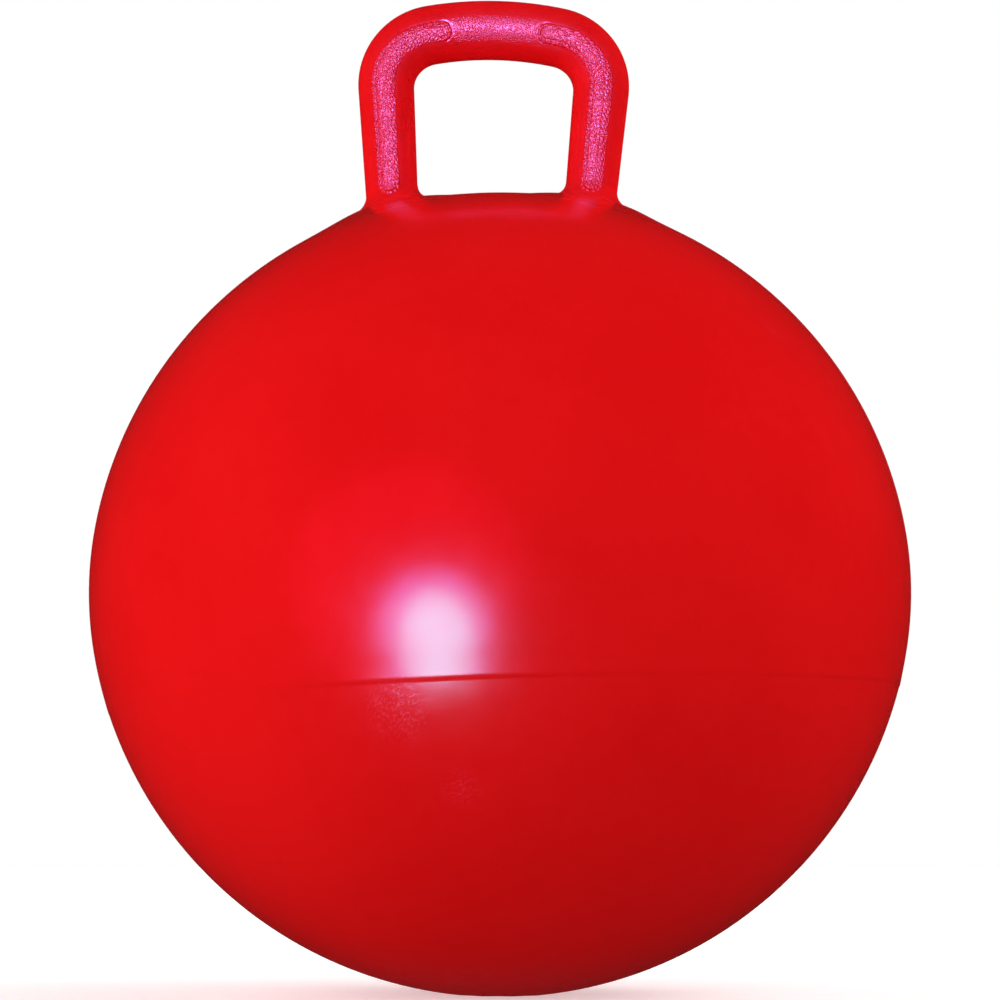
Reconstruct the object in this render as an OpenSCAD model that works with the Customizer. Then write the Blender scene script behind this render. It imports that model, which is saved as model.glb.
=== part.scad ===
// Hopper ball: a blown-up vinyl ball with a closed loop handle on its crown.
// Millimetres, +Z up. The origin is the middle of the flat spot that the ball stands on.
// The handle's loop lies in the XZ plane, and the air valve is low on the rear side, at +Y.

/* [Ball] */
// Widest diameter of the blown-up ball
ball_d = 450; // [380:5:650]
// Height of the tighter rounding at the widest part, above and below the middle
side_h = 34; // [22:1:38]
// How far the crown's centre lies below the bowl's, which makes the ball lower than it is wide
flattening = 10; // [4:0.5:14]
// Thickness of the moulded skin
skin_t = 1.2; // [1:0.1:2.5]
// Radius of the flat spot under the ball
rest_r = 24; // [16:1:40]
// Radius of the tiny flat that the mould's gate leaves in the middle of the crown
gate_r = 2; // [1:0.5:5]

/* [Seam] */
// Depth of the mould seam below the bowl's centre
seam_drop = 63; // [30:1:90]
// Tilt of the seam's plane, up on the right, as the blown-up skin has set
seam_tilt = 2.4; // [0:0.1:5]
// Width of the shallow valley that the seam draws in
valley_w = 18; // [10:1:26]
// Depth of that valley
valley_depth = 0.7; // [0.4:0.1:1.2]
// Width of the crease in the valley's middle
crease_w = 2; // [1:0.2:4]
// Depth of the crease
crease_depth = 0.5; // [0.2:0.1:0.8]

/* [Handle] */
// Height of the loop above the crown
loop_h = 117; // [95:0.5:135]
// Distance between the legs' centre lines where they meet the crown's height
leg_span = 111.5; // [98:0.5:130]
// Angle at which each leg spreads on its way up
leg_splay = 4.5; // [0:0.1:8]
// Thickness of a leg at its foot
foot_d = 29.4; // [24:0.2:34]
// Thickness of a leg at its top, where the corner starts, in the loop's plane
leg_top_d = 31.6; // [26:0.2:36]
// Thickness of the grip bar, in the loop's plane
bar_d = 33.6; // [28:0.2:38]
// Thickness of the tube from front to back
tube_depth = 30; // [24:0.5:34]
// Thickness of the handle's wall
handle_t = 2; // [1.5:0.1:4]
// Radius of the centre line at the upper corners
corner_r = 30.5; // [24:1:38]
// Radius of the grip bar's arch along its centre line
arch_r = 190; // [120:5:400]
// Lean of the whole loop to the right, as the soft moulding stands
handle_lean = 1.2; // [0:0.1:8]
// Shift of the loop's foot to the left of the ball's axis
handle_shift = 5; // [0:0.5:8]

/* [Handle feet] */
// Radius of the fillet between a leg and the skin round it
fillet_r = 9; // [5:0.5:12]
// How high the stiff loop draws the skin up round each foot
mound_h = 8.3; // [4:0.1:10]
// How far from the leg the drawn-up skin reaches
mound_spread = 36; // [20:1:40]

/* [Valve] */
// Angle of the valve below the bowl's centre, on the rear side
valve_dip = 38; // [25:1:60]
// Outer radius of the valve's bush
bush_r = 10.5; // [9.5:0.1:14]
// Length of the bush, inwards from the skin's outer face
bush_len = 16; // [12:0.5:24]
// Radius of the flange that is bonded to the inside of the skin
flange_r = 18; // [15:0.5:26]
// Thickness of that flange
flange_t = 1.6; // [1:0.1:3]
// Radius of the bore that the plug's stem closes
bore_r = 4.5; // [3.5:0.1:5.5]
// Radius of the round notch for a fingernail
notch_r = 3; // [2:0.5:3.5]

/* [Plug] */
// Radius of the plug's head
head_r = 8; // [7:0.1:8.5]
// Thickness of the plug's head
head_t = 2.2; // [1.6:0.1:3]
// Length of the stem under the head
stem_len = 15; // [10:0.5:20]
// Depth of the grooves between the stem's ribs
rib_depth = 0.6; // [0.3:0.1:1]
// Height of one rib
rib_h = 1.6; // [1:0.1:2.2]
// Length of the tapered tip
tip_len = 4; // [2:0.5:6]
// Radius at the end of the tip
tip_r = 2.8; // [2:0.1:3.4]

/* [Fits] */
// Gap between a foot's underside and the dome, which its flat facets need to clear the skin
sole_gap = 0.15; // [0.15:0.05:0.5]
// Gap all round the stem in the bore
stem_gap = 0.05; // [0.02:0.01:0.1]
// Gap all round the plug's head in its recess, and under it
head_gap = 0.3; // [0.2:0.05:0.5]
// How far the plug's head lies below the skin's face
head_sink = 0.3; // [0.2:0.1:0.8]
// Bevel on the edges of the head
head_bevel = 0.5; // [0.2:0.1:0.7]

/* [Hidden] */

vinyl_red = [0.86, 0.07, 0.10];
handle_red = [0.82, 0.06, 0.09];
bush_red = [0.66, 0.05, 0.07];
plug_white = [0.90, 0.89, 0.86];

// The extra length by which a cut runs past the face that it opens
overrun = 1;
// The number of ribs on the plug's stem
rib_count = 3;

// The number of steps between the crown's circle and the bowl's at the widest part
side_arcs = 4;
// Smoothness of the true round parts, of the handle's sections and along its length
round_fn = 180;
small_fn = 48;
ring_sides = 24;
fillet_steps = 5;
mound_steps = 6;
leg_steps = 4;
corner_steps = 8;
bar_steps = 10;

// The ball's profile: two arcs of one radius, joined at the widest part by an arc that is
// smaller by side_share and meets both smoothly at side_h above and below the middle
side_share = flattening / (flattening + 2 * side_h);
side_b = ball_d * (1 - side_share);
side_c = (1 - 2 * side_share) * (ball_d * ball_d + flattening * flattening);
shell_r = (side_b - sqrt(side_b * side_b - side_c)) / (2 * (1 - 2 * side_share));
side_r = shell_r * (1 - side_share);
side_x = ball_d / 2 - side_r;
bowl_z = sqrt(shell_r * shell_r - rest_r * rest_r);
dome_z = bowl_z - flattening;
middle_z = bowl_z - flattening / 2;
crown_z = dome_z + shell_r;

// The seam's place on the bowl, and the radius of the round that scoops out its valley
seam_angle = -asin(seam_drop / shell_r);
valley_r = 1 / (8 * valley_depth / (valley_w * valley_w) - 1 / shell_r);

// The loop's centre line, in the handle's own frame: legs, corners and an arched bar
leg_x = leg_span / 2;
bar_z = loop_h - bar_d / 2;
arch_z = bar_z - arch_r;
// The corner's centre lies corner_r inside the leg's line and inside the bar's arch
corner_a = tan(leg_splay);
corner_b = leg_x - corner_r / cos(leg_splay);
corner_qa = 1 + corner_a * corner_a;
corner_qb = corner_a * corner_b - arch_z;
corner_qc = corner_b * corner_b + arch_z * arch_z - (arch_r - corner_r) * (arch_r - corner_r);
corner_z = (-corner_qb + sqrt(corner_qb * corner_qb - corner_qa * corner_qc)) / corner_qa;
corner_x = corner_b + corner_a * corner_z;
// The angle of the corner's end, seen from the arch's centre and measured from upright
bar_angle = atan2(corner_x, corner_z - arch_z);
// The length of a leg from the crown's height to the corner
leg_len = (corner_z * cos(leg_splay)) + (corner_x - leg_x) * sin(leg_splay);

// Places that the valve's pieces share, measured outwards from the bowl's centre
recess_floor = shell_r - head_sink - head_t - head_gap;
recess_r = head_r + head_gap;
head_top = shell_r - head_sink;
stem_r = bore_r - stem_gap;
rib_pitch = (stem_len - tip_len) / rib_count;

// Turns a point of the handle's own frame into the ball's
function stand(p) = [
    -handle_shift + p[0] * cos(handle_lean) + p[2] * sin(handle_lean),
    p[1],
    crown_z - p[0] * sin(handle_lean) + p[2] * cos(handle_lean)
];

// Direction of the same turn, for an arrow
function turn(v) = [
    v[0] * cos(handle_lean) + v[2] * sin(handle_lean),
    v[1],
    v[2] * cos(handle_lean) - v[0] * sin(handle_lean)
];

// How far along direction up from point p a foot's underside lies, just clear of the dome
function to_seat(p, up) =
    let (v = p - [0, 0, dome_z], along = v * up, reach = shell_r + sole_gap)
    -along + sqrt(along * along - v * v + reach * reach);

// The leg on one side, -1 for left and 1 for right: its line's point, direction and outward arrow
function leg_point(side) = stand([side * leg_x, 0, 0]);
function leg_up(side) = turn([side * sin(leg_splay), 0, cos(leg_splay)]);
function leg_out(side) = turn([side * cos(leg_splay), 0, -sin(leg_splay)]);

// One spoke of a leg's section, at angle a from the outward arrow
function spoke(side, a) = leg_out(side) * cos(a) + [0, 1, 0] * sin(a);

// Height of the drawn-up skin above the plain ball at a distance from the leg's face
function mound(away) =
    let (share = away / mound_spread)
    mound_h * (1 - share * share * (3 - 2 * share));

// A ring round the foot: away is its distance from the leg's face of radius r, and high its
// height above the plain ball
function foot_ring(side, r, away, high) = [
    for (i = [0:ring_sides - 1])
        let (p = leg_point(side) + spoke(side, i * 360 / ring_sides) * (r + away),
             up = leg_up(side))
        p + up * (to_seat(p, up) + high)
];

// Rings of the foot's outer face, from its edge on the ball to the fillet's top
function foot_rings(side, r) = concat(
    [for (k = [mound_steps:-1:1])
        let (away = fillet_r + (mound_spread - fillet_r) * k / mound_steps)
        foot_ring(side, r, away, mound(away))],
    [for (k = [fillet_steps:-1:0])
        let (turned = 90 * k / fillet_steps,
             away = fillet_r * (1 - cos(turned)))
        foot_ring(side, r, away, mound(away) + fillet_r * (1 - sin(turned)))]
);

// Rings of the foot's underside, on the plain ball, from the bore outwards
function sole_rings(side, r) = [
    for (k = [0:mound_steps - 1])
        foot_ring(side, r, mound_spread * k / mound_steps, 0)
];

// A ring of the leg: share is 0 at the fillet's top and 1 at the corner
function leg_ring(side, share, foot, top, deep) = [
    for (i = [0:ring_sides - 1])
        let (a = i * 360 / ring_sides,
             up = leg_up(side),
             start = leg_point(side) + spoke(side, a) * foot,
             low = to_seat(start, up) + mound_h + fillet_r,
             wide = foot + (top - foot) * share,
             thick = foot + (deep - foot) * share)
        leg_point(side) + leg_out(side) * (wide * cos(a)) + [0, 1, 0] * (thick * sin(a))
            + up * (low + (leg_len - low) * share)
];

// A ring across the corner or the bar, at a centre point with its outward arrow
function cross_ring(centre, out, wide, thick) = [
    for (i = [0:ring_sides - 1])
        let (a = i * 360 / ring_sides)
        stand(centre + out * (wide * cos(a)) + [0, 1, 0] * (thick * sin(a)))
];

// Rings of one side, from the foot up to the bar's end; inset is 0 outside, and inside, where
// the leg is a plain bore down to the ball, it is the wall's thickness
function side_rings(side, inset) =
    let (foot = foot_d / 2 - inset,
         top = leg_top_d / 2 - inset,
         bar = bar_d / 2 - inset,
         deep = tube_depth / 2 - inset)
    concat(
        inset == 0
            ? concat(sole_rings(side, foot), foot_rings(side, foot))
            : [foot_ring(side, foot, 0, 0), foot_ring(side, foot, 0, mound_h + fillet_r)],
        [for (k = [1:leg_steps]) leg_ring(side, k / leg_steps, foot, top, deep)],
        [for (k = [1:corner_steps])
            let (share = k / corner_steps,
                 from = 90 + leg_splay,
                 a = from + (bar_angle - from) * share,
                 out = [side * sin(a), 0, cos(a)],
                 wide = top + (bar - top) * sin(90 * share))
            cross_ring([side * corner_x, 0, corner_z] + out * corner_r, out, wide, deep)]
    );

// Rings of the arched bar between its ends
function bar_rings(inset) = [
    for (k = [1:bar_steps - 1])
        let (a = bar_angle * (2 * k / bar_steps - 1),
             out = [sin(a), 0, cos(a)])
        cross_ring([0, 0, arch_z] + out * arch_r, out, bar_d / 2 - inset, tube_depth / 2 - inset)
];

function backwards(list) = [for (i = [len(list) - 1:-1:0]) list[i]];

// The whole loop, left foot to right foot
function loop_rings(inset) = concat(
    side_rings(-1, inset),
    bar_rings(inset),
    backwards(side_rings(1, inset))
);

// The two triangles between corner i of one ring and of the next, given their first points
function skin_pair(from, to, i) =
    let (j = (i + 1) % ring_sides)
    [[from + i, from + j, to + j], [from + i, to + j, to + i]];

// The ball's outline right of its axis, drawn in by inset from the outer face: what the two
// big circles share, trimmed at the widest part by circles between them
module ball_outline(inset) {
    r = shell_r - inset;
    intersection() {
        intersection_for(k = [0:side_arcs]) {
            drop = flattening * (k / side_arcs - 1 / 2);
            translate([0, middle_z - drop])
                circle(side_r + sqrt(side_x * side_x + drop * drop) - inset, $fn = round_fn);
        }
        translate([0, inset]) square([ball_d, dome_z + sqrt(r * r - gate_r * gate_r) - inset]);
    }
}

// Sweeps its children round the bowl along the seam, from the seam's place on the outer face
module along_seam() {
    translate([0, 0, bowl_z]) rotate([0, -seam_tilt, 0])
        rotate_extrude($fn = round_fn) rotate(seam_angle) translate([shell_r, 0]) children();
}

// The ring that scoops out the seam's valley, or fills it inside the wall
module valley_ring(inset) {
    along_seam() translate([valley_r - valley_depth, 0]) circle(valley_r + inset, $fn = round_fn);
}

// The thin ring that cuts the crease along the seam
module crease_ring() {
    r = (crease_w * crease_w / 4 + crease_depth * crease_depth) / (2 * crease_depth);
    along_seam() translate([r - valley_depth - crease_depth, 0]) circle(r, $fn = small_fn);
}

// Lays its children out from the bowl's centre towards the valve, along +Z
module at_valve() {
    translate([0, 0, bowl_z]) rotate([-90 - valve_dip, 0, 0]) children();
}

// The hollow moulded ball, with the mouths of the hollow legs and the valve's hole
module ball_skin() {
    mouth_r = foot_d / 2 - handle_t;
    color(vinyl_red) difference() {
        rotate_extrude($fn = round_fn) ball_outline(0);
        valley_ring(0);
        crease_ring();
        difference() {
            rotate_extrude($fn = round_fn) ball_outline(skin_t);
            valley_ring(skin_t);
        }
        for (side = [-1, 1])
            translate([-handle_shift, 0, crown_z]) rotate([0, handle_lean, 0])
                translate([side * leg_x, 0, 0]) rotate([0, side * leg_splay, 0])
                    translate([0, 0, -foot_d]) cylinder(h = 2 * foot_d, r = mouth_r, $fn = small_fn);
        at_valve() translate([0, 0, shell_r - bush_len])
            cylinder(h = bush_len + overrun, r = bush_r, $fn = small_fn);
    }
}

// The hollow loop handle, moulded in one with the skin: a tube that swells along the grip bar and
// runs out over the drawn-up skin at its feet. Its rings go along the outer face and back inside
module loop_handle() {
    rings = concat(loop_rings(0), backwards(loop_rings(handle_t)));
    count = len(rings);
    points = [for (ring = rings) for (p = ring) p];
    faces = [for (k = [0:count - 1]) for (i = [0:ring_sides - 1])
        each skin_pair(k * ring_sides, ((k + 1) % count) * ring_sides, i)];
    color(handle_red) polyhedron(points, faces, convexity = 6);
}

// The thick bush that is bonded in the skin and holds the plug
module valve_bush() {
    color(bush_red) at_valve() difference() {
        rotate_extrude($fn = small_fn) difference() {
            union() {
                intersection() {
                    circle(shell_r, $fn = round_fn);
                    translate([0, shell_r - bush_len]) square([bush_r, bush_len]);
                }
                intersection() {
                    difference() {
                        circle(shell_r - skin_t, $fn = round_fn);
                        circle(shell_r - skin_t - flange_t, $fn = round_fn);
                    }
                    translate([0, shell_r - bush_len]) square([flange_r, bush_len]);
                }
            }
            translate([0, recess_floor]) square([recess_r, bush_len]);
            translate([0, shell_r - bush_len - overrun]) square([bore_r, bush_len + overrun]);
        }
        translate([0, recess_r, recess_floor]) cylinder(h = bush_len, r = notch_r, $fn = small_fn);
    }
}

// The plug that is pushed in to keep the air: a flat head and a ribbed stem with a tapered tip
module valve_plug() {
    neck_r = stem_r - rib_depth;
    color(plug_white) at_valve() rotate_extrude($fn = small_fn) {
        translate([0, head_top - head_t]) polygon([
            [0, 0],
            [head_r - head_bevel, 0],
            [head_r, head_bevel],
            [head_r, head_t - head_bevel],
            [head_r - head_bevel, head_t],
            [0, head_t]
        ]);
        translate([0, head_top - head_t - stem_len + tip_len])
            square([neck_r, stem_len - tip_len]);
        for (k = [0:rib_count - 1])
            translate([0, head_top - head_t - stem_len + tip_len + k * rib_pitch])
                square([stem_r, rib_h]);
        translate([0, head_top - head_t - stem_len]) polygon([
            [0, 0],
            [tip_r, 0],
            [stem_r, tip_len],
            [0, tip_len]
        ]);
    }
}

ball_skin();
loop_handle();
valve_bush();
valve_plug();
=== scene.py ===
"""Looks of a red hopper ball: a blown-up vinyl ball with a pebbled loop handle and an air valve.

Metres, +Z up. The ball stands on the origin, the handle's loop lies in the XZ plane, the front is
at -Y and the valve is low on the rear side, at +Y.
"""

import math

import bmesh
import bpy
from mathutils import Matrix, Vector, noise


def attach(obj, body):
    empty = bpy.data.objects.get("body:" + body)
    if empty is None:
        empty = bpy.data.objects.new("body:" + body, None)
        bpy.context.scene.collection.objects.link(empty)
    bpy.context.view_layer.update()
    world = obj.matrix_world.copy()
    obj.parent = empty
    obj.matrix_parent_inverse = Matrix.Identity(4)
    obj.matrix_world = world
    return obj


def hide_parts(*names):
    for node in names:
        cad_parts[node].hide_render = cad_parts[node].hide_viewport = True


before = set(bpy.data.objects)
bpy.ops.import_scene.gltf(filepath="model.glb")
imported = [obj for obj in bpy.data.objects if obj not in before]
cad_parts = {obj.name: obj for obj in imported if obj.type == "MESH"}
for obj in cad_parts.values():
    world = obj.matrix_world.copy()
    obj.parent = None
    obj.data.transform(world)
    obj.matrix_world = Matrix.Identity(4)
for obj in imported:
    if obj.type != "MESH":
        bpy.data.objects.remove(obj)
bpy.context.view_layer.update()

# The ball's own sizes, as the construction has them
BALL_WIDTH = 0.450
SIDE_HEIGHT = 0.034
FLATTENING = 0.010
SKIN = 0.0012
REST_RADIUS = 0.024

# The seam that runs round the bowl: how far it lies below the bowl's middle, its tilt, and how far
# it sags at the right
SEAM_DROP = 0.0647
SEAM_TILT = math.radians(2.4)
SEAM_SAG = 0.0030
# How far from the seam its sag draws the skin along
SEAM_REACH = 0.060
# Its relief: the lip's rise, how far above the seam the lip starts, half the length of the step
# under it, and how much of all this is left at the far left, where it is faint
LIP_RISE = 0.00036
LIP_RUN = 0.012
STEP_HALF = 0.0018
FAINT_SHARE = 0.45
# Where the sag starts and is full, and where the relief starts to fade and is faint, from -1 at
# the ball's left side to 1 at its right side
SAG_FROM = -0.35
SAG_TO = 1.0
FADE_FROM = -0.33
FADE_TO = -0.42

# The crown sits this much lower between the handle's legs: wholly within the first angle from the
# top, and no more beyond the second, in radians
CROWN_DIP = 0.0012
CROWN_FLAT = 0.20
CROWN_END = 0.38

# The loop handle's sizes
LOOP_HEIGHT = 0.117
LEG_SPAN = 0.1115
LEG_SPLAY = math.radians(4.5)
FOOT_THICKNESS = 0.0294
LEG_TOP_THICKNESS = 0.0316
BAR_THICKNESS = 0.0336
TUBE_DEPTH = 0.030
CORNER_RADIUS = 0.0305
ARCH_RADIUS = 0.190
HANDLE_LEAN = math.radians(1.2)
HANDLE_SHIFT = 0.005
FILLET_RADIUS = 0.009
# The skin that is drawn up into a mound at each foot: its height, how far it spreads to the sides
# and to the front and back, and its height there and on the hand's side in shares of the rest
MOUND_HEIGHT = 0.0074
MOUND_SPREAD = 0.043
MOUND_FRONT_SPREAD = 0.076
MOUND_FRONT_SHARE = 1.2
MOUND_HAND_SHARE = 0.9
# The mounds lie within this angle of the crown, and the skin sinks this far inside a foot
MOUNDS_END = math.radians(40)
FOOT_SINK = 0.0006

# The valve's place on the rear, and the hole in the skin that its bush fills
VALVE_DIP = math.radians(38)
BUSH_RADIUS = 0.0105
HOLE_PATCH = 0.0165
HOLE_CORNERS = 64

# Values worked out from these, as the construction does
SIDE_SHARE = FLATTENING / (FLATTENING + 2 * SIDE_HEIGHT)
SIDE_B = BALL_WIDTH * (1 - SIDE_SHARE)
SIDE_C = (1 - 2 * SIDE_SHARE) * (BALL_WIDTH**2 + FLATTENING**2)
SHELL_RADIUS = (SIDE_B - math.sqrt(SIDE_B**2 - SIDE_C)) / (2 * (1 - 2 * SIDE_SHARE))
SIDE_RADIUS = SHELL_RADIUS * (1 - SIDE_SHARE)
SIDE_X = BALL_WIDTH / 2 - SIDE_RADIUS
BOWL_Z = math.sqrt(SHELL_RADIUS**2 - REST_RADIUS**2)
DOME_Z = BOWL_Z - FLATTENING
CROWN_Z = DOME_Z + SHELL_RADIUS
BOWL_CENTRE = Vector((0, 0, BOWL_Z))
SEAM_ANGLE = -math.asin(SEAM_DROP / SHELL_RADIUS)
VALVE_WAY = Vector((0, math.cos(VALVE_DIP), -math.sin(VALVE_DIP)))


def own_object(mesh_builder, name):
    """Makes a piece from a filled bmesh, with smooth faces and its place in its mesh."""
    mesh = bpy.data.meshes.new(name)
    mesh_builder.to_mesh(mesh)
    mesh_builder.free()
    for face in mesh.polygons:
        face.use_smooth = True
    piece = bpy.data.objects.new(name, mesh)
    bpy.context.scene.collection.objects.link(piece)
    return piece


def smooth_step(low, high, value):
    """Runs smoothly from 0 at low to 1 at high."""
    share = min(1.0, max(0.0, (value - low) / (high - low)))
    return share * share * (3 - 2 * share)


def ball_reach(way):
    """Distance from the bowl's centre to the ball's plain outer face in direction way."""
    across = math.hypot(way.x, way.y)
    rise = way.z * FLATTENING
    dome = -rise + math.sqrt(rise**2 - FLATTENING**2 + SHELL_RADIUS**2)
    reach = min(SHELL_RADIUS, dome)
    along = way.z * FLATTENING / 2 - across * SIDE_X
    middle = SIDE_X**2 + (FLATTENING / 2) ** 2
    side = -along + math.sqrt(along**2 - middle + SIDE_RADIUS**2)
    tangent = math.atan2(FLATTENING / 2, SIDE_X)
    seen_from_arc = math.atan2(side * way.z + FLATTENING / 2, side * across - SIDE_X)
    if abs(seen_from_arc) < tangent:
        reach = side
    if way.z < 0:
        reach = min(reach, BOWL_Z / -way.z)
    return reach


def crown_dip(way):
    """How far the crown's skin lies below the round outline, in a direction."""
    off_top = math.acos(max(-1.0, min(1.0, way.z)))
    return CROWN_DIP * (1 - smooth_step(CROWN_FLAT, CROWN_END, off_top))


def seam_relief(above, strength):
    """Height of the seam's relief at a distance above the seam, along the skin: the upper
    shell's rim turns out a little and steps down to the lower shell."""
    lip = LIP_RISE * max(0.0, 1 - max(0.0, above) / LIP_RUN) ** 2
    return strength * lip * smooth_step(-STEP_HALF, STEP_HALF, above)


# Points closer together than this are one
SAME_POINT = 1e-7
# Steps of the ball's outline from its lower pole to its upper one: how far past the seam each
# stretch ends, along the skin, and the length of its steps. The last one ends at the pole
OUTLINE_STRETCHES = [
    (-0.016, 0.0058),
    (-0.003, 0.0010),
    (0.0035, 0.00025),
    (0.016, 0.0010),
    (0.300, 0.0058),
    (None, 0.0025),
]
# Steps round the seam's axis
BALL_STEPS = 240


def spun_ball():
    """A closed ball of the shell's radius round the seam's axis, fine along the seam."""
    bm = bmesh.new()
    tip = bmesh.ops.create_vert(bm, co=(0, 0, -SHELL_RADIUS))["vert"][0]
    at = -math.pi / 2
    for past_seam, step in OUTLINE_STRETCHES:
        end = math.pi / 2 if past_seam is None else SEAM_ANGLE + past_seam / SHELL_RADIUS
        steps = max(1, round((end - at) * SHELL_RADIUS / step))
        arc = bmesh.ops.spin(
            bm, geom=[tip], axis=(0, -1, 0), angle=end - at, steps=steps, use_merge=False
        )
        tip = next(v for v in arc["geom_last"] if isinstance(v, bmesh.types.BMVert))
        at = end
    bmesh.ops.spin(
        bm, geom=bm.verts[:] + bm.edges[:], axis=(0, 0, 1), angle=2 * math.pi,
        steps=BALL_STEPS, use_merge=True,
    )
    bmesh.ops.remove_doubles(bm, verts=bm.verts[:], dist=SAME_POINT)
    bmesh.ops.recalc_face_normals(bm, faces=bm.faces[:])
    return bm


# The seam's sag turns the skin this way
DOWN = Vector((0, 0, -1))


def near_seam(above):
    """1 at the seam and 0 far from it, so that the seam's sag draws the skin along gently."""
    return 1 - smooth_step(0, SEAM_REACH, abs(above))


def dipped(point):
    """A point of the crown, taken down by the crown's dip."""
    way = (point - BOWL_CENTRE).normalized()
    return point - way * crown_dip(way)


def mound_spread(angle):
    """How far from the leg's face the drawn-up skin reaches: further to the front and back."""
    return MOUND_SPREAD + (MOUND_FRONT_SPREAD - MOUND_SPREAD) * math.sin(angle) ** 2


def mound(away, angle):
    """Height of the skin that is drawn up round a foot, at a distance from the leg's face. It is
    lower on the hand's side, and runs out long and straight to the front and back."""
    share = min(1.0, away / mound_spread(angle))
    beside = 1 - share**3 * (10 - 15 * share + 6 * share**2)
    beside *= (1 + MOUND_HAND_SHARE + (1 - MOUND_HAND_SHARE) * math.cos(angle)) / 2
    before = MOUND_FRONT_SHARE * (1 - share) ** 3
    return MOUND_HEIGHT * (beside + (before - beside) * math.sin(angle) ** 2)


def drawn_up(point):
    """How far and which way the skin is drawn up by both feet, at a point of the round crown.
    Inside a foot's fillet it sinks out of sight."""
    lift = Vector((0, 0, 0))
    for start, up, out in LEGS.values():
        aside = (point - start).dot(out)
        deep = (point - start).dot(DEEP)
        away = math.hypot(aside, deep) - FOOT_THICKNESS / 2
        high = mound(max(0.0, away), math.atan2(deep, aside))
        lift += up * (high - FOOT_SINK * smooth_step(FILLET_RADIUS, 0, away))
    return lift


def shape_skin(bm):
    """Moves every corner of the spun ball onto the real outline, with the seam's relief and the
    mounds at the handle's feet."""
    for corner in bm.verts:
        seam_side = math.asin(max(-1.0, min(1.0, corner.co.z / SHELL_RADIUS)))
        above = (seam_side - SEAM_ANGLE) * SHELL_RADIUS
        right = corner.co.x / SHELL_RADIUS
        sag = SEAM_SAG * smooth_step(SAG_FROM, SAG_TO, right) * near_seam(above)
        strength = 1 - (1 - FAINT_SHARE) * smooth_step(FADE_FROM, FADE_TO, right)
        way = corner.co.normalized()
        if sag > 0:
            way = Matrix.Rotation(sag / SHELL_RADIUS, 3, way.cross(DOWN)) @ way
        way = (Matrix.Rotation(-SEAM_TILT, 3, "Y") @ way).normalized()
        point = BOWL_CENTRE + way * (ball_reach(way) + seam_relief(above, strength))
        if way.z > math.cos(MOUNDS_END):
            point += drawn_up(point)
        corner.co = dipped(point)


def open_valve_hole(bm):
    """Cuts the skin round the valve and gives the hole a true round edge."""
    middle = BOWL_CENTRE + VALVE_WAY * SHELL_RADIUS
    patch = [f for f in bm.faces if (f.calc_center_median() - middle).length < HOLE_PATCH]
    bmesh.ops.delete(bm, geom=patch, context="FACES")
    ragged = [e for e in bm.edges if e.is_boundary]
    turn = VALVE_WAY.to_track_quat("Z", "Y").to_matrix().to_4x4()
    bmesh.ops.create_circle(
        bm, segments=HOLE_CORNERS, radius=BUSH_RADIUS, matrix=Matrix.Translation(middle) @ turn
    )
    hoop = [e for e in bm.edges if e.is_wire]
    bridge = bmesh.ops.bridge_loops(bm, edges=ragged + hoop)
    across = [e for e in bridge["edges"] if e not in ragged and e not in hoop]
    bmesh.ops.subdivide_edges(bm, edges=across, cuts=2)
    for corner in bm.verts:
        if (corner.co - middle).length < HOLE_PATCH:
            way = (corner.co - BOWL_CENTRE).normalized()
            corner.co = BOWL_CENTRE + way * ball_reach(way)
    bmesh.ops.recalc_face_normals(bm, faces=bm.faces[:])


def make_ball_skin():
    """The ball's moulded skin, hollow inside, with its seam and the valve's hole."""
    bm = spun_ball()
    shape_skin(bm)
    open_valve_hole(bm)
    skin = own_object(bm, "skin_of_ball")
    wall = skin.modifiers.new("wall", "SOLIDIFY")
    wall.thickness = SKIN
    wall.offset = -1
    return skin


# The loop's centre line in the handle's own frame: legs, corners and an arched bar
LEG_X = LEG_SPAN / 2
BAR_Z = LOOP_HEIGHT - BAR_THICKNESS / 2
ARCH_Z = BAR_Z - ARCH_RADIUS
CORNER_A = math.tan(LEG_SPLAY)
CORNER_B = LEG_X - CORNER_RADIUS / math.cos(LEG_SPLAY)
CORNER_QA = 1 + CORNER_A**2
CORNER_QB = CORNER_A * CORNER_B - ARCH_Z
CORNER_QC = CORNER_B**2 + ARCH_Z**2 - (ARCH_RADIUS - CORNER_RADIUS) ** 2
CORNER_Z = (-CORNER_QB + math.sqrt(CORNER_QB**2 - CORNER_QA * CORNER_QC)) / CORNER_QA
CORNER_X = CORNER_B + CORNER_A * CORNER_Z
BAR_ANGLE = math.atan2(CORNER_X, CORNER_Z - ARCH_Z)
CORNER_FROM = math.pi / 2 + LEG_SPLAY
LEG_LENGTH = CORNER_Z * math.cos(LEG_SPLAY) + (CORNER_X - LEG_X) * math.sin(LEG_SPLAY)
BAR_HALF = ARCH_RADIUS * BAR_ANGLE
CORNER_RUN = CORNER_RADIUS * (CORNER_FROM - BAR_ANGLE)
HANDLE_PLACE = Matrix.Translation((-HANDLE_SHIFT, 0, CROWN_Z)) @ Matrix.Rotation(
    HANDLE_LEAN, 4, "Y"
)

# Spacing of the loop's rows along its length. Its columns are fine on the front and back, where
# the pebbled panels lie, from the first angle, towards the hand, to the second, outwards, and
# coarse elsewhere
ROW = 0.0005
FINE_FROM = math.radians(-42)
FINE_TO = math.radians(32)
FINE_COLUMNS = 50
COARSE_COLUMNS = 24
# The foot's edge: its rows, how far it runs out over the ball's skin, how high over the skin it
# starts, how deep it dips into it, and how far its end is turned down there, out of sight
SKIRT_ROWS = 6
SKIRT_RUN = 0.0060
SKIRT_LIFT = 0.00003
SKIRT_DIP = 0.00015
SKIRT_END = 0.0010

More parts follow.
